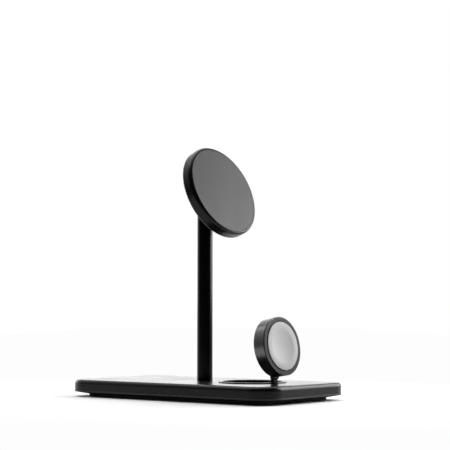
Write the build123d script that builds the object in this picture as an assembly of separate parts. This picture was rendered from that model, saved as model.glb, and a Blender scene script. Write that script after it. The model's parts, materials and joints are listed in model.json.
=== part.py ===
from build123d import *
import os
from math import cos, radians, sin

os.makedirs("parts", exist_ok=True)

# Frame: X across the stand, Y from front to back, Z up, origin on the table
# under the middle of the slab. Both charging faces look towards -Y.

# Slab
base_width = 82.0
base_length = 158.0
base_corner = 13.5
shell_height = 6.25
top_round = 2.6
shell_wall = 2.2
shell_roof = 2.0
roof_round = 1.0
cover_band = 1.2
cover_drop = 1.5
cover_thick = 1.5
lip_height = 1.1
lip_thick = 1.2
seam_bevel = 0.25

# Foot
foot_height = 1.6
foot_inset = 9.0
foot_land = 0.5
foot_bevel = 0.4

# Post
post_radius = 4.75
post_wall = 1.25
axis_height = 120.9
fork_height = 7.2

# Phone head: tilt is the lean of its face from the vertical
head_radius = 29.2
head_thick = 7.2
head_tilt = 20.9
head_back_round = 1.5
head_front_round = 2.0
head_wall = 1.6
head_floor = 1.6
lug_reach = 8.95

# Watch puck: tilt is the lean of its face from the vertical
puck_radius = 17.3
puck_thick = 8.3
puck_tilt = 9.2
puck_back_round = 0.6
puck_front_round = 0.3
puck_rim = 0.35
puck_wall = 1.4

# Round well, ahead of the post's flange
well_gap = 5.95
well_margin = 0.8
well_wall = 0.95
well_floor = 1.0
well_floor_round = 0.2
ring_width = 2.1
ring_height = 0.67
ring_round = 0.3
ring_skirt = 2.3

# Clearances
slip = 0.05
pin_press = 0.02
pin_play = 0.05
side_gap = 0.3
part_gap = 0.15

# Screws
boss_radius = 2.6
boss_inset = 13.5
screw_radius = 1.0
screw_head = 1.9
screw_grip = 3.0
screw_sink = 1.0
screw_tip = 0.5
pan_height = 0.9

# Weight plate, circuit board and inlet inside the slab
ballast_thick = 2.6
ballast_corner = 6.0
ballast_edge = 8.0
ballast_room = 1.0
ballast_ahead = 3.95
ballast_behind = 1.0
board_thick = 1.0
board_lift = 0.6
board_corner = 1.5
board_margin = 2.9
board_edge = 5.0
board_behind = 4.0
earbud_edge = 4.4
pad_radius = 2.0
pad_share = 0.7
usb_width = 8.94
usb_height = 3.2
usb_skin = 0.3
usb_depth = 7.6
usb_mouth_depth = 6.2
usb_recess = 0.4
usb_lift = 0.25
usb_tongue_width = 6.7
usb_tongue_thick = 0.7
usb_wing = 1.8
usb_wing_thick = 0.3
usb_wing_length = 1.6
usb_tongue_step = 0.6
plug_width = 9.0
plug_length = 4.5
plug_inset = 0.5
plug_round = 0.5

# Coils: shares of the height between board and roof, and of the radius
coil_share = 0.49
ferrite_share = 0.3
cable_share = 0.45
coil_hole = 0.38
ferrite_step = 0.6

# Foot of the post
flange_rim = 7.25
flange_spigot = 5.5
flange_spigot_wall = 0.95
flange_screws = 3
flange_screw_edge = 3.0
fork_spigot = 10.0
cable_bend = 3.5
cable_room = 0.4

# Inside the phone head
pad_gap = 0.2
pad_gap_depth = 0.6
pad_round = 0.25
pad_thick = 1.6
magnet_width = 3.4
magnet_thick = 2.0
magnet_count = 18
magnet_pitch = 18.5
magnet_fill = 0.86
coil_gap = 1.7
head_coil_width = 11.5
head_coil_thick = 1.3
tray_thick = 0.8
tray_posts = 4
tray_post_radius = 1.8
head_board_gap = 2.2
head_board_width = 5.0
head_board_thick = 1.0

# Head hinge
head_cheek = 2.5
head_eye_margin = 0.55
head_pin = 1.5
lug_flange = 10.0
lug_flange_thick = 1.8
lug_round = 0.8
lug_screws = 3
lug_screw_edge = 3.0
lug_screw_grip = 1.3
washer_radius = 3.6
washer_thick = 0.25

# Front and inside of the watch puck
bezel_lip = 0.9
bezel_plug = 1.1
bezel_gap = 0.1
bezel_width = 2.8
bezel_bevel = 0.35
bezel_round = 0.15
dish_gap = 0.2
dish_proud = 0.4
dish_round = 0.25
dish_rim = 3.9
dish_sag = 0.9
bowl_round = 5.0
dish_step = 0.65
puck_magnet_radius = 5.0
puck_magnet_thick = 2.6
puck_coil_margin = 0.75
puck_coil_thick = 1.6
puck_coil_gap = 1.0
puck_board_margin = 0.7
puck_board_thick = 0.8
puck_posts = 3
puck_post_edge = 3.2
puck_post_radius = 1.6

# Watch hinge at the top of the neck
hinge_height = 3.6
hinge_inset = 0.28
hinge_behind = 0.67
eye_radius = 1.45
eye_thick = 1.0
cheek_thick = 1.6
hinge_pin = 0.6
neck_front = 0.95
neck_back = 1.5
neck_round = 0.9
neck_gap = 0.8
gusset_length = 4.0
neck_foot_width = 9.6
neck_foot_length = 4.1
neck_foot_thick = 1.0
neck_foot_round = 1.6
neck_screw_spread = 3.6
neck_screw_radius = 0.7
neck_screw_head = 1.1
neck_screw_head_thick = 0.7

# Heights that follow from the sizes above
floor_z = foot_height + cover_thick
edge_z = foot_height + cover_drop
seam_z = edge_z + cover_band
top_z = seam_z + shell_height
roof_z = top_z - shell_roof
ballast_top = floor_z + ballast_thick
well_floor_z = ballast_top + well_floor
skirt_z = top_z - ring_skirt
board_z = seam_z + board_lift
board_top = board_z + board_thick
usb_z = seam_z + usb_lift + usb_height / 2
over_board = roof_z - board_top
coil_low = roof_z - coil_share * over_board
ferrite_low = coil_low - ferrite_share * over_board
cable_radius = cable_share * over_board
cable_z = board_top + cable_radius

# Places in plan that follow
boss_x = base_width / 2 - boss_inset
boss_y = base_length / 2 - boss_inset
flange_radius = post_radius + flange_rim
flange_screw_circle = flange_radius - flange_screw_edge
well_radius = puck_radius + well_margin
well_outer = well_radius + well_wall
well_y = -flange_radius - well_gap - well_outer
ballast_width = base_width - 2 * ballast_edge
ballast_front = well_y - well_outer - ballast_ahead
ballast_back = flange_radius + ballast_behind
board_width = 2 * (boss_x - boss_radius - board_margin)
board_front = ballast_back + board_behind
board_back = base_length / 2 - board_edge
board_length = board_back - board_front
board_mid = (board_front + board_back) / 2
plug_front = board_front + plug_inset
usb_back = base_length / 2 - usb_recess - usb_depth
earbud_y = (plug_front + plug_length + usb_back) / 2
earbud_radius = (usb_back - plug_front - plug_length) / 2 - earbud_edge

# The neck stands inside the front of the well, under the puck's back edge
ring_radius = well_radius + ring_width
hinge_y = well_y - well_radius + neck_gap + neck_front
hinge_z = top_z + hinge_height
neck_foot_y = hinge_y - neck_front + neck_foot_length / 2 + side_gap

# Radii inside the head and the puck, from the rim inwards
post_bore = post_radius - post_wall
post_top = axis_height - fork_height
flange_bore = post_bore - slip - flange_spigot_wall
head_room = head_radius - head_wall
magnet_outer = head_room - 0.4
magnet_inner = magnet_outer - magnet_width
head_coil_outer = magnet_inner - coil_gap
tray_post_circle = head_coil_outer - tray_post_radius
head_board_outer = tray_post_circle - tray_post_radius - head_board_gap
lug_screw_circle = lug_flange - lug_screw_edge
puck_room = puck_radius - puck_wall
bezel_inner = puck_radius - bezel_width
dish_radius = bezel_inner - dish_gap
dish_flange = dish_radius + dish_step
puck_coil_outer = dish_radius - puck_coil_margin

# Levels inside the head and the puck, measured back from their faces
head_floor_in = head_floor - head_thick
head_coil_low = -pad_thick - head_coil_thick
magnet_low = -pad_thick - magnet_thick
tray_low = magnet_low - tray_thick
puck_floor_in = puck_wall - puck_thick
dish_low = -bezel_lip - bezel_plug
puck_coil_low = dish_low - puck_coil_thick
puck_magnet_low = dish_low - puck_magnet_thick
puck_board_low = puck_magnet_low - puck_board_thick

# Half widths across the two hinges
eye_half = eye_thick / 2
slot_half = eye_half + side_gap
neck_half = slot_half + cheek_thick
fork_half = post_radius - head_cheek
lug_half = fork_half - side_gap
lug_eye = post_radius - head_eye_margin

# Leaning frames of the two charging faces, local Z out of the face. The
# head's face stands off its tilt axis, the puck's face off its hinge.
head_lean = radians(head_tilt)
puck_lean = radians(puck_tilt)
axis_reach = head_thick + lug_reach
eye_y = hinge_inset - puck_radius
eye_z = -puck_thick - hinge_behind
head_face = (0, -axis_reach * cos(head_lean), axis_height + axis_reach * sin(head_lean))
puck_face_y = hinge_y - eye_y * sin(puck_lean) + eye_z * cos(puck_lean)
puck_face_z = hinge_z - eye_y * cos(puck_lean) - eye_z * sin(puck_lean)
head_frame = Plane(head_face, (1, 0, 0), (0, -cos(head_lean), sin(head_lean)))
puck_frame = Plane((0, puck_face_y, puck_face_z), (1, 0, 0), (0, -cos(puck_lean), sin(puck_lean)))


def disc(radius, z_low, z_high):
    """Upright cylinder on the Z axis between two heights."""
    return Pos(0, 0, z_low) * extrude(Circle(radius), z_high - z_low)


def annulus(outer, inner, z_low, z_high):
    """Upright ring on the Z axis between two heights."""
    return disc(outer, z_low, z_high) - disc(inner, z_low, z_high)


def plate(width, length, corner, z_low, z_high):
    """Rounded rectangular plate between two heights."""
    outline = RectangleRounded(width, length, corner)
    return Pos(0, 0, z_low) * extrude(outline, z_high - z_low)


def crossbar(radius, x_low, x_high, y, z):
    """Cylinder along X at a given place in the YZ plane."""
    bar = extrude(Plane.YZ * Circle(radius), x_high - x_low)
    return Pos(x_low, y, z) * bar


def open_slot(half, reach):
    """Slot cutter that runs along Y and upwards."""
    return extrude(Rectangle(2 * half, reach), reach)


def edges_at(solid, z):
    """Edges that lie in one level plane."""
    return solid.edges().filter_by_position(Axis.Z, z - 0.001, z + 0.001)


def outer_edge(solid, z):
    """Largest round edge in one level plane."""
    return edges_at(solid, z).sort_by(SortBy.RADIUS)[-1]


def around(count, radius, start=90.0):
    """Evenly spaced places on a circle."""
    return PolarLocations(radius, count, start)


def cone(low_radius, high_radius, height):
    """Cone that stands on the XY plane."""
    return Pos(0, 0, height / 2) * Cone(low_radius, high_radius, height)


def csk_screw(z_low, z_high):
    """Countersunk screw between two heights, its head at the bottom."""
    head = Pos(0, 0, z_low) * cone(screw_head, screw_radius, screw_sink)
    return head + disc(screw_radius, z_low + screw_sink, z_high)


def csk_hole(z_low, z_high):
    """Hole that the countersunk screw seats in."""
    seat = Pos(0, 0, z_low) * cone(screw_head, screw_radius, screw_sink)
    return seat + disc(screw_radius + slip, z_low, z_high)


def boss_spots():
    """Six screw places: the corners and the middle of each long side."""
    return GridLocations(2 * boss_x, boss_y, 2, 3)


def make_top_shell():
    """Moulded slab cover: soft top edge, thin walls, bosses and openings."""
    shell = plate(base_width, base_length, base_corner, seam_z, top_z)
    shell = fillet(edges_at(shell, top_z), top_round)
    room = plate(
        base_width - 2 * shell_wall,
        base_length - 2 * shell_wall,
        base_corner - shell_wall,
        seam_z,
        roof_z,
    )
    room = fillet(edges_at(room, roof_z), roof_round)
    shell -= room
    for spot in boss_spots():
        shell += spot * disc(boss_radius, floor_z, roof_z + slip)
        shell -= spot * disc(screw_radius + slip, floor_z, floor_z + screw_grip + part_gap)
    shell -= disc(post_radius + slip, roof_z - 1, top_z + 1)
    shell -= Pos(0, well_y, 0) * disc(well_outer + slip, roof_z - 1, top_z + 1)
    mouth = SlotOverall(usb_width + 2 * slip, usb_height + 2 * slip)
    cut = extrude(Plane.XZ * mouth, -2 * shell_wall)
    return shell - Pos(0, base_length / 2 - 1.5 * shell_wall, usb_z) * cut


def make_bottom_cover():
    """Lower cover: its underside falls to the foot, and a room inside holds the weight."""
    run = foot_inset - foot_land
    rim = RectangleRounded(base_width, base_length, base_corner)
    land = RectangleRounded(base_width - 2 * run, base_length - 2 * run, base_corner - run)
    cover = loft([Pos(0, 0, foot_height) * land, Pos(0, 0, edge_z) * rim], ruled=True)
    cover += plate(base_width, base_length, base_corner, edge_z, seam_z)
    cover = chamfer(edges_at(cover, seam_z), seam_bevel)
    inset = 2 * (ballast_edge - ballast_room)
    room_corner = base_corner - ballast_edge + ballast_room
    cover -= plate(base_width - inset, base_length - inset, room_corner, floor_z, seam_z)
    inset = 2 * (shell_wall + slip)
    lip_corner = base_corner - shell_wall - slip
    lip_top = seam_z + lip_height
    lip = plate(base_width - inset, base_length - inset, lip_corner, seam_z, lip_top)
    inset += 2 * lip_thick
    lip -= plate(base_width - inset, base_length - inset, lip_corner - lip_thick, seam_z, lip_top)
    gate = Box(usb_width + 2 * usb_wing, 4 * lip_thick, 4 * lip_height)
    lip -= Pos(0, base_length / 2 - shell_wall - lip_thick, seam_z) * gate
    cover += lip
    for spot in GridLocations(board_width - 4 * pad_radius, pad_share * board_length, 2, 2):
        cover += Pos(0, board_mid, 0) * spot * disc(pad_radius, floor_z, board_z)
    for spot in boss_spots():
        cover -= spot * csk_hole(foot_height, floor_z)
    return cover


def make_foot():
    """Soft plinth, set in from the slab's edge."""
    foot = plate(
        base_width - 2 * foot_inset,
        base_length - 2 * foot_inset,
        base_corner - foot_inset,
        0,
        foot_height,
    )
    return chamfer(edges_at(foot, 0), foot_bevel)


def make_cover_screws():
    """Six like screws that hold the cover to the bosses."""
    screw = csk_screw(foot_height, floor_z + screw_grip)
    return Compound([spot * screw for spot in boss_spots()])


def flange_spots():
    """Screw places of the post's flange, clear of its cable slot."""
    return around(flange_screws, flange_screw_circle, 270)


def make_ballast():
    """Steel plate with room for the bosses and seats for the post's screws."""
    length = ballast_back - ballast_front
    middle = (ballast_back + ballast_front) / 2
    ballast = Pos(0, middle, 0) * plate(ballast_width, length, ballast_corner, floor_z, ballast_top)
    for spot in boss_spots():
        ballast -= spot * disc(boss_radius + side_gap, floor_z, ballast_top)
    for spot in flange_spots():
        ballast -= spot * csk_hole(floor_z, ballast_top)
    for side in (-1, 1):
        spot = Pos(side * neck_screw_spread, neck_foot_y, 0)
        ballast -= spot * disc(neck_screw_radius + slip, floor_z, ballast_top)
    return ballast


def make_board():
    """Main board, notched at the rear for the sunk inlet."""
    board = Pos(0, board_mid, 0) * plate(board_width, board_length, board_corner, board_z, board_top)
    notch = Box(usb_width + 2 * slip, 2 * usb_depth, 4 * board_thick)
    return board - Pos(0, usb_back + usb_depth, board_z) * notch


def make_usb():
    """Inlet: a rounded metal mouth round a flat tongue, with two board wings."""
    shell = extrude(Plane.XZ * SlotOverall(usb_width, usb_height), -usb_depth)
    mouth = SlotOverall(usb_width - 2 * usb_skin, usb_height - 2 * usb_skin)
    hollow = extrude(Plane.XZ * mouth, -usb_mouth_depth)
    shell -= Pos(0, usb_depth - usb_mouth_depth, 0) * hollow
    tongue = Box(usb_tongue_width, usb_depth - 2 * usb_tongue_step, usb_tongue_thick)
    shell += Pos(0, usb_depth / 2, 0) * tongue
    wing_z = board_top + usb_wing_thick / 2 - usb_z
    wings = Box(usb_width + 2 * usb_wing, usb_wing_length, usb_wing_thick)
    wings -= Box(usb_width - 2 * usb_skin, usb_wing_length, usb_wing_thick)
    return Pos(0, usb_back, usb_z) * (shell + Pos(0, usb_wing_length, wing_z) * wings)


def make_plug():
    """Plug block of the post's lead, on the front edge of the board."""
    block = plate(plug_width, plug_length, plug_round, board_top, roof_z - part_gap)
    return Pos(0, plug_front + plug_length / 2, 0) * block


def make_earbud_coil():
    """Flat coil under the rear half of the roof."""
    outer = earbud_radius - ferrite_step
    return Pos(0, earbud_y, 0) * annulus(outer, coil_hole * outer, coil_low, roof_z)


def make_earbud_ferrite():
    """Shield disc under the earbud coil."""
    return Pos(0, earbud_y, 0) * disc(earbud_radius, ferrite_low, coil_low)


def make_well_ring():
    """Raised rim with a skirt that drops into the roof's opening."""
    ring = annulus(ring_radius, well_radius, top_z, top_z + ring_height)
    ring = fillet(edges_at(ring, top_z + ring_height), ring_round)
    ring += annulus(well_outer, well_radius, skirt_z, top_z)
    return Pos(0, well_y, 0) * ring


def make_well_cup():
    """Floor and lower wall of the well, with holes for the neck's screws."""
    cup = disc(well_outer, ballast_top, skirt_z)
    room = disc(well_radius, well_floor_z, skirt_z)
    room = fillet(outer_edge(room, well_floor_z), well_floor_round)
    cup = Pos(0, well_y, 0) * (cup - room)
    for side in (-1, 1):
        spot = Pos(side * neck_screw_spread, neck_foot_y, 0)
        cup -= spot * disc(neck_screw_radius + slip, ballast_top, well_floor_z)
    return cup


def make_watch_fork():
    """Short neck on a foot, its top split into two eyed cheeks."""
    foot_top = well_floor_z + neck_foot_thick
    neck_length = neck_front + neck_back
    middle = hinge_y + (neck_back - neck_front) / 2
    stem = Pos(0, middle, 0) * plate(2 * neck_half, neck_length, neck_round, well_floor_z, hinge_z)
    crown = crossbar(eye_radius, -neck_half, neck_half, hinge_y, hinge_z)
    foot = plate(neck_foot_width, neck_foot_length, neck_foot_round, well_floor_z, foot_top)
    fork = stem + crown + Pos(0, neck_foot_y, 0) * foot
    slot_low = hinge_z - eye_radius - side_gap
    fork -= Pos(0, hinge_y, slot_low) * open_slot(slot_half, 4 * eye_radius)
    fork -= crossbar(hinge_pin + pin_press, -2 * neck_half, 2 * neck_half, hinge_y, hinge_z)
    for side in (-1, 1):
        spot = Pos(side * neck_screw_spread, neck_foot_y, 0)
        fork -= spot * disc(neck_screw_radius + slip, well_floor_z, foot_top)
    return fork


def make_fork_screws():
    """Two small pan screws that hold the neck's foot down."""
    seat = well_floor_z + neck_foot_thick
    head = disc(neck_screw_head, seat, seat + neck_screw_head_thick)
    screw = head + disc(neck_screw_radius, floor_z + part_gap, seat)
    spots = [Pos(side * neck_screw_spread, neck_foot_y, 0) for side in (-1, 1)]
    return Compound([spot * screw for spot in spots])


def make_pin(radius, half_length, y, z):
    """Cross pin with bevelled ends."""
    pin = crossbar(radius, -half_length, half_length, y, z)
    return chamfer(pin.edges().filter_by(GeomType.CIRCLE), 0.2 * radius)


def make_post_flange():
    """Turned flange under the roof, with a spigot up the post and a cable slot."""
    flange = disc(flange_radius, ballast_top, roof_z)
    flange += disc(post_bore - slip, roof_z, roof_z + flange_spigot)
    flange -= disc(flange_bore, ballast_top, roof_z + flange_spigot)
    way = Pos(0, flange_radius) * Rectangle(2 * (cable_radius + cable_room), 2 * flange_radius)
    flange -= Pos(0, 0, ballast_top) * extrude(way, roof_z - ballast_top)
    for spot in flange_spots():
        flange -= spot * disc(screw_radius + slip, ballast_top, roof_z - screw_tip)
    return flange


def make_post_screws():
    """Three countersunk screws from the weight plate up into the flange."""
    screw = csk_screw(floor_z, roof_z - screw_tip - part_gap)
    return Compound([spot * screw for spot in flange_spots()])


def make_post_fork():
    """Hinge block at the top of the post: spigot, split round head, pin bore."""
    fork = disc(post_radius, post_top, axis_height)
    dome = disc(post_radius, axis_height, axis_height + post_radius)
    fork += dome & crossbar(post_radius, -post_radius, post_radius, 0, axis_height)
    fork += disc(post_bore - slip, post_top - fork_spigot, post_top)
    slot_low = axis_height - lug_eye - side_gap
    fork -= Pos(0, 0, slot_low) * open_slot(fork_half, 4 * post_radius)
    fork -= crossbar(head_pin + pin_press, -2 * post_radius, 2 * post_radius, 0, axis_height)
    return fork - disc(cable_radius + cable_room, post_top - fork_spigot, slot_low)


def make_post_cable():
    """Lead inside the post, turning back under the roof to the plug block."""
    top = post_top
    bend = cable_z + cable_bend
    down = Line((0, 0, top), (0, 0, bend))
    along = Line((0, cable_bend, cable_z), (0, plug_front, cable_z))
    path = Wire([down, make_turn(bend), along])
    section = Plane((0, 0, top), (1, 0, 0), (0, 0, -1)) * Circle(cable_radius)
    return sweep(section, path)


def make_turn(bend):
    """Quarter turn of the lead from down to back."""
    half = cable_bend * (1 - cos(radians(45)))
    drop = cable_bend * sin(radians(45))
    return ThreePointArc((0, 0, bend), (0, half, bend - drop), (0, cable_bend, cable_z))


def make_washers():
    """Two friction washers on the inner faces of the fork's cheeks."""
    left = crossbar(washer_radius, -fork_half, washer_thick - fork_half, 0, axis_height)
    right = crossbar(washer_radius, fork_half - washer_thick, fork_half, 0, axis_height)
    bore = crossbar(head_pin + pin_press, -fork_half, fork_half, 0, axis_height)
    return Compound([left - bore, right - bore])


def lug_spots():
    """Screw places between the head's rear shell and its hinge lug."""
    return around(lug_screws, lug_screw_circle)


def make_head_rear():
    """Round rear shell with soft edges, an open front, tray posts and screw holes."""
    shell = disc(head_radius, -head_thick, 0)
    shell = fillet(outer_edge(shell, -head_thick), head_back_round)
    shell = fillet(outer_edge(shell, 0), head_front_round)
    shell -= disc(head_room, head_floor_in, 0)
    for spot in around(tray_posts, tray_post_circle, 45):
        shell += spot * disc(tray_post_radius, head_floor_in - slip, tray_low)
    for spot in lug_spots():
        shell -= spot * disc(screw_radius + slip, -head_thick, head_floor_in)
    return shell


def make_head_pad():
    """Flat phone face set in the shell, with a dark gap round its edge."""
    pad = disc(head_room - pad_gap, -pad_gap_depth, 0)
    pad = fillet(outer_edge(pad, 0), pad_round)
    return pad + disc(head_room - slip, -pad_thick, -pad_gap_depth)


def make_tray():
    """Disc that carries the coil and the magnets on the shell's posts."""
    return disc(head_room - slip, tray_low, tray_low + tray_thick)


def make_head_magnets():
    """Ring of arc magnets, open at the foot."""
    half = radians(magnet_pitch * magnet_fill / 2)
    reach = 2 * magnet_outer
    side = reach * sin(half)
    ahead = reach * cos(half)
    wedge = Polyline((0, 0), (-side, ahead), (side, ahead), close=True)
    arc = make_face(Circle(magnet_outer).edge()) - make_face(Circle(magnet_inner).edge())
    magnet = Pos(0, 0, magnet_low) * extrude(arc & make_face(wedge), magnet_thick)
    first = -(magnet_count - 1) / 2 * magnet_pitch
    return Compound([Rot(0, 0, first + step * magnet_pitch) * magnet for step in range(magnet_count)])


def make_head_coil():
    """Flat phone coil behind the pad."""
    return annulus(head_coil_outer, head_coil_outer - head_coil_width, head_coil_low, -pad_thick)


def make_head_ferrite():
    """Shield disc between the coil and the tray."""
    return disc(head_coil_outer + ferrite_step, magnet_low, head_coil_low)


def make_head_board():
    """Ring board under the tray."""
    inner = head_board_outer - head_board_width
    return annulus(head_board_outer, inner, tray_low - head_board_thick, tray_low)


def make_lug():
    """Hinge lug: round flange on the shell's back and a round-ended web to the axis."""
    seat = -head_thick
    back = seat - lug_flange_thick
    lug = disc(lug_flange, back, seat)
    lug = fillet(outer_edge(lug, back), lug_round)
    web = Pos(0, (seat - axis_reach) / 2) * Rectangle(2 * lug_eye, axis_reach + seat)
    web += Pos(0, -axis_reach) * Circle(lug_eye)
    lug += Pos(-lug_half, 0, 0) * extrude(Plane.YZ * web, 2 * lug_half)
    root = edges_at(lug, back).filter_by(GeomType.LINE)
    lug = fillet(root, lug_round)
    lug -= crossbar(head_pin + pin_play, -fork_half, fork_half, 0, -axis_reach)
    for spot in lug_spots():
        lug -= spot * disc(screw_radius + slip, seat - lug_screw_grip - slip, seat)
    return lug


def make_lug_screws():
    """Three pan screws through the shell's floor into the lug's flange."""
    head = disc(screw_head, head_floor_in, head_floor_in + pan_height)
    screw = head + disc(screw_radius, -head_thick - lug_screw_grip, head_floor_in)
    return Compound([spot * screw for spot in lug_spots()])


def make_puck_housing():
    """Round cup with a thin rim and a hinge eye at its lower back edge, clear of the fork."""
    cup = disc(puck_radius, -puck_thick, 0)
    cup = fillet(outer_edge(cup, -puck_thick), puck_back_round)
    cup = fillet(outer_edge(cup, 0), puck_front_round)
    cup -= disc(puck_radius - puck_rim, -bezel_lip, 0)
    cup -= disc(puck_room, puck_floor_in, -bezel_lip)
    for spot in around(puck_posts, puck_room - puck_post_edge):
        cup += spot * disc(puck_post_radius, puck_floor_in - slip, puck_board_low)
    half = neck_half + side_gap
    cup -= crossbar(eye_radius + side_gap, -half, half, eye_y, eye_z)
    eye = Pos(eye_y, eye_z) * Circle(eye_radius)
    top = eye_y + gusset_length
    gusset = Polyline(
        (eye_y, eye_z - eye_radius),
        (top, -puck_thick),
        (top, puck_floor_in - puck_wall / 2),
        (eye_y, puck_floor_in - puck_wall / 2),
        close=True,
    )
    cup += Pos(-eye_half, 0, 0) * extrude(Plane.YZ * (eye + make_face(gusset)), eye_thick)
    return cup - crossbar(hinge_pin + pin_play, -eye_thick, eye_thick, eye_y, eye_z)


def make_bezel():
    """Front ring of the puck, set in the cup's rim, its hole bevelled round the dish."""
    bezel = disc(puck_radius - puck_rim - bezel_gap, -bezel_lip, 0)
    bezel = fillet(outer_edge(bezel, 0), bezel_round)
    bezel += disc(puck_room - slip, dish_low, -bezel_lip)
    bezel -= disc(dish_flange + slip, dish_low, -bezel_lip)
    bezel -= disc(bezel_inner, -bezel_lip, 0)
    return chamfer(edges_at(bezel, 0).sort_by(SortBy.RADIUS)[0], bezel_bevel)


def make_dish():
    """Watch face: a disc hollowed to a shallow bowl, held by a flange."""
    dish = disc(dish_radius, -bezel_lip, dish_proud)
    dish = fillet(outer_edge(dish, dish_proud), dish_round)
    reach = dish_radius - dish_rim
    bowl = (reach * reach + dish_sag * dish_sag) / (2 * dish_sag)
    dish -= Pos(0, 0, dish_proud - dish_sag + bowl) * Sphere(bowl)
    dish = fillet(edges_at(dish, dish_proud).sort_by(SortBy.RADIUS)[0], bowl_round)
    return dish + disc(dish_flange, dish_low, -bezel_lip)


def make_puck_coil():
    """Watch coil behind the dish."""
    return annulus(puck_coil_outer, puck_magnet_radius + puck_coil_gap, puck_coil_low, dish_low)


def make_puck_magnet():
    """Round magnet at the middle of the coil."""
    return disc(puck_magnet_radius, puck_magnet_low, dish_low)


def make_puck_ferrite():
    """Shield ring behind the watch coil."""
    outer = puck_coil_outer + ferrite_step
    return annulus(outer, puck_magnet_radius + slip, puck_magnet_low, puck_coil_low)


def make_puck_board():
    """Round board on the posts of the cup."""
    return disc(puck_room - puck_board_margin, puck_board_low, puck_magnet_low)


base_pieces = {
    "base_top_shell": make_top_shell(),
    "base_bottom_cover": make_bottom_cover(),
    "foot_pad": make_foot(),
    "cover_screws": make_cover_screws(),
    "ballast_plate": make_ballast(),
    "main_board": make_board(),
    "board_connector": make_plug(),
    "usb_c_socket": make_usb(),
    "earbud_coil": make_earbud_coil(),
    "earbud_ferrite": make_earbud_ferrite(),
    "well_ring": make_well_ring(),
    "well_cup": make_well_cup(),
    "watch_fork": make_watch_fork(),
    "fork_screws": make_fork_screws(),
    "watch_hinge_pin": make_pin(hinge_pin, neck_half - part_gap, hinge_y, hinge_z),
    "post_flange": make_post_flange(),
    "post_screws": make_post_screws(),
    "post_tube": annulus(post_radius, post_bore, roof_z, post_top),
    "post_cable": make_post_cable(),
    "post_fork": make_post_fork(),
    "head_hinge_pin": make_pin(head_pin, post_radius - 2 * part_gap, 0, axis_height),
    "friction_washers": make_washers(),
}

head_pieces = {
    "head_rear_shell": make_head_rear(),
    "head_front_pad": make_head_pad(),
    "head_coil_tray": make_tray(),
    "head_magnets": make_head_magnets(),
    "head_coil": make_head_coil(),
    "head_ferrite": make_head_ferrite(),
    "head_board": make_head_board(),
    "head_hinge_lug": make_lug(),
    "lug_screws": make_lug_screws(),
}

puck_pieces = {
    "puck_housing": make_puck_housing(),
    "puck_bezel": make_bezel(),
    "puck_dish": make_dish(),
    "puck_coil": make_puck_coil(),
    "puck_magnet": make_puck_magnet(),
    "puck_ferrite": make_puck_ferrite(),
    "puck_board": make_puck_board(),
}

pieces = dict(base_pieces)
for name, piece in head_pieces.items():
    pieces[name] = head_frame * piece
for name, piece in puck_pieces.items():
    pieces[name] = puck_frame * piece

for name, piece in pieces.items():
    piece.label = name
    export_step(piece, "parts/" + name + ".step")
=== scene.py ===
import json
import math

import bmesh
import bpy
from mathutils import Matrix, Vector


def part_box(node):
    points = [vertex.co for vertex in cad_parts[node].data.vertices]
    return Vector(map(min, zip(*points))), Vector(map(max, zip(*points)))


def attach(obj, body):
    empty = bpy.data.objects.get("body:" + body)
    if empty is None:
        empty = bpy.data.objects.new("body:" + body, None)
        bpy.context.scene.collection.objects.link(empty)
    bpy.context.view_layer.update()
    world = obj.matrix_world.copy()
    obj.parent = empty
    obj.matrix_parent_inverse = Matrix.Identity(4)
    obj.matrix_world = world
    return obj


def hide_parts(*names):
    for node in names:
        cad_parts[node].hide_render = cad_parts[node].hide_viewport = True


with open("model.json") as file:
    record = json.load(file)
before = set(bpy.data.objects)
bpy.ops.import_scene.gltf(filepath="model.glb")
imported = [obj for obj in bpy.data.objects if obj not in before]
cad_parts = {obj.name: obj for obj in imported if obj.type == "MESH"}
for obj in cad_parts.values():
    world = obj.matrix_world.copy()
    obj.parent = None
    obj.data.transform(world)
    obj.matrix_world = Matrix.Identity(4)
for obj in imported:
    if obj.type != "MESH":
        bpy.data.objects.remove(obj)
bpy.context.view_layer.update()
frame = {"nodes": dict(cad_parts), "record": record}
nodes = frame["nodes"]

MM = 0.001

# Turn of the photograph's line of sight about Z
VIEW_TURN = math.radians(-50.89)

# Size of the slow change of gloss over a surface, and how far it goes either way
CLOUD_MM = 22
GLOSS_SWING = 0.03

# Mesh limits: points closer than this are one, edges sharper than this stay crisp
MERGE = 1e-7
CRISP = math.radians(32)

# Flats round a spun piece and round a screw
SPIN_STEPS = 144
SCREW_STEPS = 36


# Colours and nodes


def colour(code):
    """Linear RGBA of an sRGB hex value."""
    parts = [int(code[i : i + 2], 16) / 255 for i in (1, 3, 5)]
    linear = [p / 12.92 if p <= 0.04045 else ((p + 0.055) / 1.055) ** 2.4 for p in parts]
    return (*linear, 1.0)


def add(tree, kind, links=None, values=None, **settings):
    """Adds one node with its settings, its socket values and the sockets that feed it."""
    node = tree.nodes.new(kind)
    for name, value in settings.items():
        setattr(node, name, value)
    for name, value in (values or {}).items():
        node.inputs[name].default_value = value
    for name, source in (links or {}).items():
        tree.links.new(source, node.inputs[name])
    return node


def blank(name):
    """A new material and its empty node tree."""
    material = bpy.data.materials.new(name)
    material.use_nodes = True
    material.node_tree.nodes.clear()
    return material, material.node_tree


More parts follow.
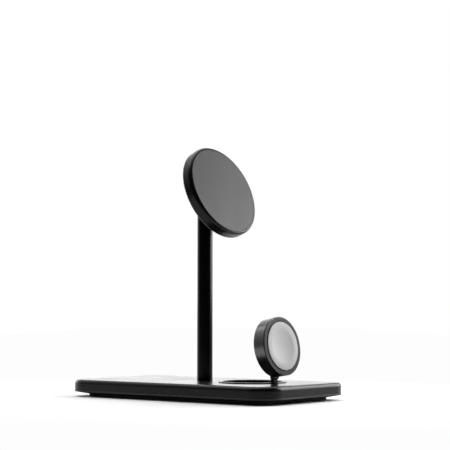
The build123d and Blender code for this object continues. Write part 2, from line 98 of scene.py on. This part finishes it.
def grained(name, dark, light, grain_mm, depth_mm, rough, values):
    """A fine-grained finish: colour and relief follow one grain, gloss a slow cloud."""
    material, tree = blank(name)
    place = add(tree, "ShaderNodeTexCoord").outputs["Object"]
    grain = add(
        tree,
        "ShaderNodeTexNoise",
        {"Vector": place},
        {"Scale": 1 / (grain_mm * MM), "Detail": 3.0, "Roughness": 0.6},
    ).outputs["Fac"]
    cloud = add(
        tree,
        "ShaderNodeTexNoise",
        {"Vector": place},
        {"Scale": 1 / (CLOUD_MM * MM), "Detail": 2.0, "Roughness": 0.5},
    ).outputs["Fac"]
    tone = add(tree, "ShaderNodeMix", {"Factor": grain}, data_type="RGBA")
    tone.inputs["A"].default_value = colour(dark)
    tone.inputs["B"].default_value = colour(light)
    gloss = add(
        tree,
        "ShaderNodeMapRange",
        {"Value": cloud},
        {
            "From Min": 0.3,
            "From Max": 0.7,
            "To Min": rough - GLOSS_SWING,
            "To Max": rough + GLOSS_SWING,
        },
    ).outputs["Result"]
    relief = add(
        tree,
        "ShaderNodeBump",
        {"Height": grain},
        {"Strength": 0.6, "Distance": depth_mm * MM},
    ).outputs["Normal"]
    shader = add(
        tree,
        "ShaderNodeBsdfPrincipled",
        {"Base Color": tone.outputs["Result"], "Roughness": gloss, "Normal": relief},
        values,
    )
    add(tree, "ShaderNodeOutputMaterial", {"Surface": shader.outputs["BSDF"]})
    return material


# Finishes


def moulded_satin_black():
    """ABS from a spark-eroded tool: near black, a soft sheen and a fine even grain.
    The grain is drawn at 0.5 mm, about three times its real size, so that it shows."""
    return grained(
        "satin_black_moulding",
        "#0b0b0b",
        "#0f0f0f",
        grain_mm=0.5,
        depth_mm=0.0012,
        rough=0.26,
        values={"IOR": 1.5, "Specular IOR Level": 0.2},
    )


def coated_satin_black():
    """Powder-coated aluminium: deep black, smoother than the moulding, a faint orange peel."""
    return grained(
        "satin_black_coat",
        "#040404",
        "#070707",
        grain_mm=1.1,
        depth_mm=0.001,
        rough=0.2,
        values={"IOR": 1.5, "Specular IOR Level": 0.13},
    )


def moulded_soft_black():
    """The head's shell and the neck: a darker moulding with a deeper grain than the slab's."""
    return grained(
        "soft_black_moulding",
        "#080808",
        "#0b0b0b",
        grain_mm=0.5,
        depth_mm=0.003,
        rough=0.26,
        values={"IOR": 1.5, "Specular IOR Level": 0.2},
    )


def coated_matt_black():
    """The lower cover's matt coat: a shade lighter and duller than the moulding above it."""
    return grained(
        "matt_black_coat",
        "#171717",
        "#1c1c1c",
        grain_mm=0.6,
        depth_mm=0.012,
        rough=0.5,
        values={"IOR": 1.48},
    )


def soft_grey_silicone():
    """Moulded silicone face: dark grey, no clear highlight, a dusty bloom at low angles."""
    return grained(
        "soft_grey_silicone",
        "#494949",
        "#515151",
        grain_mm=0.55,
        depth_mm=0.012,
        rough=0.5,
        values={
            "IOR": 1.43,
            "Specular IOR Level": 0.36,
            "Sheen Weight": 0.04,
            "Sheen Roughness": 0.4,
        },
    )


def anodised_graphite():
    """The puck's cup: bead-blasted, dark anodised aluminium with a long soft sheen."""
    return grained(
        "graphite_anodised",
        "#606060",
        "#6a6a6a",
        grain_mm=0.4,
        depth_mm=0.004,
        rough=0.3,
        values={"Metallic": 1.0},
    )


def black_silicone_and_gap_shade():
    """The foot's matt black silicone with no highlight, also used for the thin black rings that
    paint the shade in the puck's gaps.
    """
    return grained(
        "black_silicone_and_gap_shade",
        "#101011",
        "#161617",
        grain_mm=0.7,
        depth_mm=0.03,
        rough=0.68,
        values={"IOR": 1.43},
    )


def moulded_matt_grey():
    """The puck's front ring: dark grey moulding with a dull grain."""
    return grained(
        "matt_grey_moulding",
        "#3c3c3c",
        "#444444",
        grain_mm=0.45,
        depth_mm=0.012,
        rough=0.45,
        values={"IOR": 1.5, "Specular IOR Level": 0.1},
    )


def satin_silver_grey():
    """The watch dish: pale silver-grey polycarbonate with a smooth satin skin."""
    return grained(
        "silver_grey_dish",
        "#c3c3c3",
        "#c9c9c9",
        grain_mm=2.5,
        depth_mm=0.002,
        rough=0.34,
        values={"IOR": 1.58, "Specular IOR Level": 0.08},
    )


def blackened_steel():
    """Pins, washers and screws: blackened steel with a fine tooth."""
    return grained(
        "blackened_steel",
        "#262627",
        "#303031",
        grain_mm=0.3,
        depth_mm=0.006,
        rough=0.38,
        values={"Metallic": 1.0},
    )


def plated_steel():
    """Inlet shell, weight plate and magnets: bright nickel-plated steel."""
    return grained(
        "nickel_plate",
        "#a3a2a0",
        "#b1b0ad",
        grain_mm=0.8,
        depth_mm=0.003,
        rough=0.3,
        values={"Metallic": 1.0},
    )


def wound_copper():
    """Flat coils of enamelled copper wire: warm metal, uneven at the size of a turn."""
    return grained(
        "enamelled_copper",
        "#a65a2c",
        "#c5763f",
        grain_mm=0.5,
        depth_mm=0.03,
        rough=0.32,
        values={"Metallic": 1.0},
    )


def gold_plate():
    """Inlet contacts: a thin gold flash on polished copper, warm and bright."""
    return grained(
        "gold_plate",
        "#c99a4a",
        "#d6ab5c",
        grain_mm=0.3,
        depth_mm=0.001,
        rough=0.22,
        values={"Metallic": 1.0},
    )


def circuit_board():
    """Glass-epoxy board under green solder mask, with a wet gloss."""
    return grained(
        "solder_mask_green",
        "#0d3a1e",
        "#14502a",
        grain_mm=1.2,
        depth_mm=0.01,
        rough=0.36,
        values={"IOR": 1.5},
    )


def ferrite_sheet():
    """Sintered ferrite shield: dull dark grey."""
    return grained(
        "ferrite_grey",
        "#2e2d2c",
        "#3a3938",
        grain_mm=0.6,
        depth_mm=0.02,
        rough=0.6,
        values={"IOR": 1.6},
    )


def plain_black_moulding():
    """Inner carriers, the inlet's tongue and the lead's jacket: plain black plastic."""
    return grained(
        "plain_black_moulding",
        "#171717",
        "#1d1d1d",
        grain_mm=0.8,
        depth_mm=0.02,
        rough=0.5,
        values={"IOR": 1.5},
    )


# CAD nodes of each finish; the gold is only for the contacts made further down
FINISH_OF = {
    moulded_satin_black: ["base_top_shell", "well_ring"],
    anodised_graphite: ["puck_housing"],
    coated_matt_black: ["base_bottom_cover"],
    coated_satin_black: [
        "post_tube",
        "post_fork",
        "post_flange",
        "well_cup",
        "head_hinge_lug",
    ],
    moulded_soft_black: ["head_rear_shell", "watch_fork"],
    black_silicone_and_gap_shade: ["foot_pad"],
    soft_grey_silicone: ["head_front_pad"],
    moulded_matt_grey: ["puck_bezel"],
    satin_silver_grey: ["puck_dish"],
    blackened_steel: [
        "watch_hinge_pin",
        "head_hinge_pin",
        "friction_washers",
        "cover_screws",
        "fork_screws",
        "post_screws",
        "lug_screws",
    ],
    plated_steel: ["usb_c_socket", "ballast_plate", "head_magnets", "puck_magnet"],
    wound_copper: ["earbud_coil", "head_coil", "puck_coil"],
    circuit_board: ["main_board", "head_board", "puck_board"],
    ferrite_sheet: ["earbud_ferrite", "head_ferrite", "puck_ferrite"],
    plain_black_moulding: ["board_connector", "post_cable", "head_coil_tray"],
    gold_plate: [],
}

finishes = {}
for finish, names in FINISH_OF.items():
    finishes[finish] = finish()
    for name in names:
        nodes[name].data.materials.clear()
        nodes[name].data.materials.append(finishes[finish])


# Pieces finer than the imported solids, all lengths in millimetres


def piece(name, bm, finish, body, slot, *stands_for):
    """Closes a mesh, gives it its finish and lets it ride on a body in place of CAD nodes."""
    bmesh.ops.remove_doubles(bm, verts=bm.verts, dist=MERGE)
    bmesh.ops.recalc_face_normals(bm, faces=bm.faces)
    for face in bm.faces:
        face.smooth = True
    mesh = bpy.data.meshes.new(name)
    bm.to_mesh(mesh)
    bm.free()
    mesh.set_sharp_from_angle(angle=CRISP)
    mesh.materials.append(finishes[finish])
    obj = bpy.data.objects.new(name, mesh)
    bpy.context.scene.collection.objects.link(obj)
    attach(obj, body)
    if stands_for:
        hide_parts(*stands_for)


def face_frame(mount):
    """Matrix of a charging face: local Z out of it, local X across the stand."""
    spot = next(m for m in frame["record"]["mounts"] if m["name"] == mount)
    out = Vector(spot["axis"]).normalized()
    across = Vector((1, 0, 0))
    turn = Matrix((across, out.cross(across), out)).transposed()
    return Matrix.Translation(spot["pos_m"]) @ turn.to_4x4()


def arc(centre, radius, start, end, steps):
    """Points on an arc in the radius and height plane, angles in degrees."""
    turns = [math.radians(start + (end - start) * k / steps) for k in range(steps + 1)]
    return [(centre[0] + radius * math.cos(t), centre[1] + radius * math.sin(t)) for t in turns]


def spun_on_face(profile, mount):
    """Spins radius and height points about the axis of a charging face."""
    bm = bmesh.new()
    verts = [bm.verts.new((r * MM, 0, z * MM)) for r, z in profile]
    edges = [bm.edges.new(pair) for pair in zip(verts, verts[1:])]
    bmesh.ops.spin(
        bm,
        geom=verts + edges,
        cent=(0, 0, 0),
        axis=(0, 0, 1),
        angle=2 * math.pi,
        steps=SPIN_STEPS,
        use_merge=True,
    )
    bmesh.ops.transform(bm, matrix=face_frame(mount), verts=bm.verts)
    return bm


def watch_dish():
    """Watch face: a ring that leans in a little and rolls over into a shallow bowl."""
    radius, proud, edge = 14.3, 0.4, 0.25
    flange, lip, back = 14.95, -0.9, -2.0
    rim, sag, roll, ring_lean = 3.9, 0.9, 5.0, 4.0
    bowl_steps, roll_steps, edge_steps = 16, 8, 6

    # Bowl, and the roll that runs out of it at the bowl's own slope
    reach = radius - rim
    bowl = (reach * reach + sag * sag) / (2 * sag)
    lean = math.degrees(math.asin(reach / bowl))
    flat = reach + roll * math.tan(math.radians(lean / 2))
    start = math.degrees(math.asin((flat - roll * math.sin(math.radians(lean))) / bowl))
    profile = arc((0, proud - sag + bowl), bowl, -90, start - 90, bowl_steps)
    profile += arc((flat, proud - roll), roll, 90 + lean, 90 + ring_lean, roll_steps)[1:]

    # Sunk so that the leaning ring meets the rounded edge at its top
    inner, height = profile[-1]
    rise = (radius - edge - inner) * math.tan(math.radians(ring_lean))
    profile = [(r, z - (height + rise - proud)) for r, z in profile]
    profile += arc((radius - edge, proud - edge), edge, 90, 0, edge_steps)
    profile += [(radius, lip), (flange, lip), (flange, back), (0, back)]
    bm = spun_on_face(profile, "watch_dish")
    piece("watch_dish", bm, satin_silver_grey, "watch_puck", "dish", "puck_dish")


def puck_painted_gap_shade():
    """Thin black rings of painted shade at the cup's edge and round the dish: they stand for the
    shadow in the puck's parting gaps.
    """
    skin = 0.03
    radius_low_high = {"cup_painted_shadow_gap": (17.3, -0.9, -0.2), "dish_painted_shadow_gap": (14.3, -0.6, 0.15)}
    for name, (radius, low, high) in radius_low_high.items():
        inner, outer = radius - skin, radius + skin
        profile = [(inner, low), (outer, low), (outer, high), (inner, high), (inner, low)]
        # Painted shade: matt black rings that draw the gaps' shadow as dark lines
        piece(name, spun_on_face(profile, "watch_dish"), black_silicone_and_gap_shade, "watch_puck", "foot")


def block(bm, size, centre):
    """Adds a rectangular block."""
    made = bmesh.ops.create_cube(bm, size=MM)
    bmesh.ops.scale(bm, vec=size, verts=made["verts"])
    bmesh.ops.translate(bm, vec=Vector(centre) * MM, verts=made["verts"])


def inlet_tongue():
    """Black tongue of the inlet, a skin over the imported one, and its two rows of contacts."""
    shell_half, step, skin = 1.6, 0.6, 0.02
    width, thick, length = 6.7, 0.7, 5.6
    high = Vector(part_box("usb_c_socket")[1]) / MM
    tip, level = high.y - step + skin, high.z - shell_half
    tongue = bmesh.new()
    block(tongue, (width + 2 * skin, length, thick + 2 * skin), (0, tip - length / 2, level))
    piece("inlet_tongue", tongue, plain_black_moulding, "base", "inner")

    pitch, count, contact, reach = 0.5, 12, (0.26, 3.2, 0.04), 2.2
    rows = bmesh.new()
    for side in (-1, 1):
        height = level + side * (thick / 2 + skin)
        for k in range(count):
            block(rows, contact, ((k - (count - 1) / 2) * pitch, tip - reach, height))
    piece("inlet_contacts", rows, gold_plate, "base", "copper")


def neck_screws():
    """Two pan-head screws with hexagon sockets that hold the neck's foot down."""
    head, thick, shank = 1.1, 0.7, 0.7
    socket, depth, sector = 0.5, 0.4, 60
    edge, edge_steps = 0.18, 4
    low, high = (Vector(corner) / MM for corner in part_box("fork_screws"))
    seat = high.z - thick
    bm = bmesh.new()
    for across in (low.x + head, high.x - head):
        place = Matrix.Translation(Vector((across, (low.y + high.y) / 2, seat)) * MM)
        for radius, bottom, top in ((shank, low.z - seat, 0), (head, 0, thick)):
            made = bmesh.ops.create_cone(
                bm,
                cap_ends=True,
                segments=SCREW_STEPS,
                radius1=radius * MM,
                radius2=radius * MM,
                depth=(top - bottom) * MM,
            )
            lift = Matrix.Translation((0, 0, (top + bottom) / 2 * MM))
            bmesh.ops.transform(bm, matrix=place @ lift, verts=made["verts"])

        # Socket: the head's top drawn in to a hexagon and sunk
        around = {face for vert in made["verts"] for face in vert.link_faces}
        lid = max(around, key=lambda face: face.calc_center_median().z)
        corner = list(lid.edges)
        bmesh.ops.inset_region(bm, faces=[lid], thickness=(head - socket) * MM)
        middle = lid.calc_center_median()
        for vert in lid.verts:
            arm = vert.co - middle
            turn = math.degrees(math.atan2(arm.y, arm.x))
            flat = math.cos(math.radians((turn + sector / 2) % sector - sector / 2))
            vert.co = middle + arm.normalized() * socket * MM / flat
        sunk = bmesh.ops.extrude_discrete_faces(bm, faces=[lid])["faces"][0]
        bmesh.ops.translate(bm, vec=(0, 0, -depth * MM), verts=sunk.verts)
        bmesh.ops.bevel(
            bm,
            geom=corner,
            affect="EDGES",
            offset=edge * MM,
            segments=edge_steps,
            profile=0.5,
            material=-1,
        )
    piece("neck_screws", bm, blackened_steel, "base", "steel", "fork_screws")


watch_dish()
# Black rings of painted shade in the puck's parting gaps
puck_painted_gap_shade()
inlet_tongue()
neck_screws()


# Studio, all lengths in metres

# Point that the lamps face, half way up the stand
MIDDLE = Vector((0, 0, 0.07))

# Way to the white sweep behind the stand, and the light of the room behind the camera
SWEEP_WAY = (0.70, 0.714, 0.0)
ROOM_LEVEL = 0.03

# Soft lamps: place from the middle, width and height, watts
LAMPS = {
    "side_box": ((0.32, -0.19, 0.12), (0.26, 0.26), 1.3),
    "top_box": ((0.08, 0.24, 0.87), (0.9, 0.9), 5.8),
    "back_box": ((0.6, 1.08, 0.24), (1.7, 0.5), 3.3),
}


def stage_floor():
    """A roll of white paper under the foot, from just ahead of the picture to far back."""
    ahead, behind, half = 0.36, 6.0, 0.65
    bm = bmesh.new()
    bmesh.ops.create_grid(bm, x_segments=1, y_segments=1, size=1.0)
    bmesh.ops.scale(bm, vec=(half, (ahead + behind) / 2, 1.0), verts=bm.verts)
    bmesh.ops.translate(bm, vec=(0, (behind - ahead) / 2, 0), verts=bm.verts)
    turn = Matrix.Rotation(VIEW_TURN, 3, "Z")
    bmesh.ops.rotate(bm, cent=(0, 0, 0), matrix=turn, verts=bm.verts)
    mesh = bpy.data.meshes.new("paper_roll")
    bm.to_mesh(mesh)
    bm.free()
    paper = bpy.data.objects.new("paper_roll", mesh)
    bpy.context.scene.collection.objects.link(paper)
    mesh.materials.append(white_paper())


def white_paper():
    """Matt white paper that takes the shadow round the slab and fades into the sweep."""
    fade_start, fade_end = 0.01, 0.22
    material, tree = blank("white_paper")
    low, high = (Vector(corner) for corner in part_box("base_top_shell"))
    slab = ((high.x - low.x) / 2, (high.y - low.y) / 2, 0.0)

    # Distance from the slab's outline
    way = add(tree, "ShaderNodeTexCoord").outputs["Object"]
    for operation, values in (
        ("ABSOLUTE", {}),
        ("SUBTRACT", {1: slab}),
        ("MAXIMUM", {1: (0, 0, 0)}),
    ):
        step = add(tree, "ShaderNodeVectorMath", {0: way}, values, operation=operation)
        way = step.outputs["Vector"]
    away = add(tree, "ShaderNodeVectorMath", {0: way}, operation="LENGTH").outputs["Value"]

    fade = add(
        tree,
        "ShaderNodeMapRange",
        {"Value": away},
        {"From Min": fade_start, "From Max": fade_end},
        interpolation_type="SMOOTHSTEP",
    ).outputs["Result"]
    rays = background_rays(tree)
    share = add(tree, "ShaderNodeMath", {0: fade, 1: rays}, operation="MULTIPLY")
    paper = add(
        tree,
        "ShaderNodeBsdfPrincipled",
        values={"Base Color": colour("#fafafa"), "Roughness": 0.9},
    )
    sweep = add(tree, "ShaderNodeEmission", values={"Color": colour("#fdfdfd"), "Strength": 1.0})
    mixed = add(
        tree,
        "ShaderNodeMixShader",
        {0: share.outputs["Value"], 1: paper.outputs["BSDF"], 2: sweep.outputs["Emission"]},
    )
    add(tree, "ShaderNodeOutputMaterial", {"Surface": mixed.outputs["Shader"]})
    return material


def background_rays(tree):
    """1 for rays that show the background: seen directly, mirrored or through glass."""
    path = add(tree, "ShaderNodeLightPath")
    total = path.outputs["Is Camera Ray"]
    for kind in ("Is Glossy Ray", "Is Transmission Ray"):
        both = {0: total, 1: path.outputs[kind]}
        total = add(tree, "ShaderNodeMath", both, operation="MAXIMUM").outputs["Value"]
    return total


def studio_world():
    """White to the camera all round; as a light, a white sweep behind and a dim room in front."""
    world = bpy.data.worlds.new("studio")
    bpy.context.scene.world = world
    world.use_nodes = True
    tree = world.node_tree
    tree.nodes.clear()
    way = add(tree, "ShaderNodeTexCoord").outputs["Generated"]
    ahead = add(
        tree, "ShaderNodeVectorMath", {0: way}, {1: SWEEP_WAY}, operation="DOT_PRODUCT"
    ).outputs["Value"]
    level = add(
        tree,
        "ShaderNodeMapRange",
        {"Value": ahead},
        {"From Min": -0.2, "From Max": 0.45, "To Min": ROOM_LEVEL, "To Max": 1.0},
        interpolation_type="SMOOTHSTEP",
    ).outputs["Result"]
    direct = add(tree, "ShaderNodeLightPath").outputs["Is Camera Ray"]
    seen = add(tree, "ShaderNodeMath", {0: direct, 1: level}, operation="MAXIMUM")
    back = add(
        tree,
        "ShaderNodeBackground",
        {"Strength": seen.outputs["Value"]},
        {"Color": colour("#ffffff")},
    )
    add(tree, "ShaderNodeOutputWorld", {"Surface": back.outputs["Background"]})


def soft_box(name, offset, size, watts):
    """A rectangular soft lamp that faces the middle of the stand."""
    lamp = bpy.data.lights.new(name, "AREA")
    lamp.shape = "RECTANGLE"
    lamp.size, lamp.size_y = size
    lamp.energy = watts
    box = bpy.data.objects.new(name, lamp)
    bpy.context.scene.collection.objects.link(box)
    box.location = MIDDLE + Vector(offset)
    box.rotation_euler = (-Vector(offset)).to_track_quat("-Z", "Y").to_euler()


def photo_camera():
    """The photograph's viewpoint: low, from the front left, looking a little up."""
    lens = bpy.data.cameras.new("photo_camera")
    lens.sensor_width = 36.0
    lens.lens = 103.25
    camera = bpy.data.objects.new("photo_camera", lens)
    bpy.context.scene.collection.objects.link(camera)
    camera.location = (-0.60897, -0.51100, 0.04844)
    camera.rotation_euler = (math.radians(94.14), 0.0, VIEW_TURN)
    bpy.context.scene.camera = camera


stage_floor()
studio_world()
for name, (offset, size, watts) in LAMPS.items():
    soft_box(name, offset, size, watts)
photo_camera()
bpy.context.scene.view_settings.view_transform = "Standard"
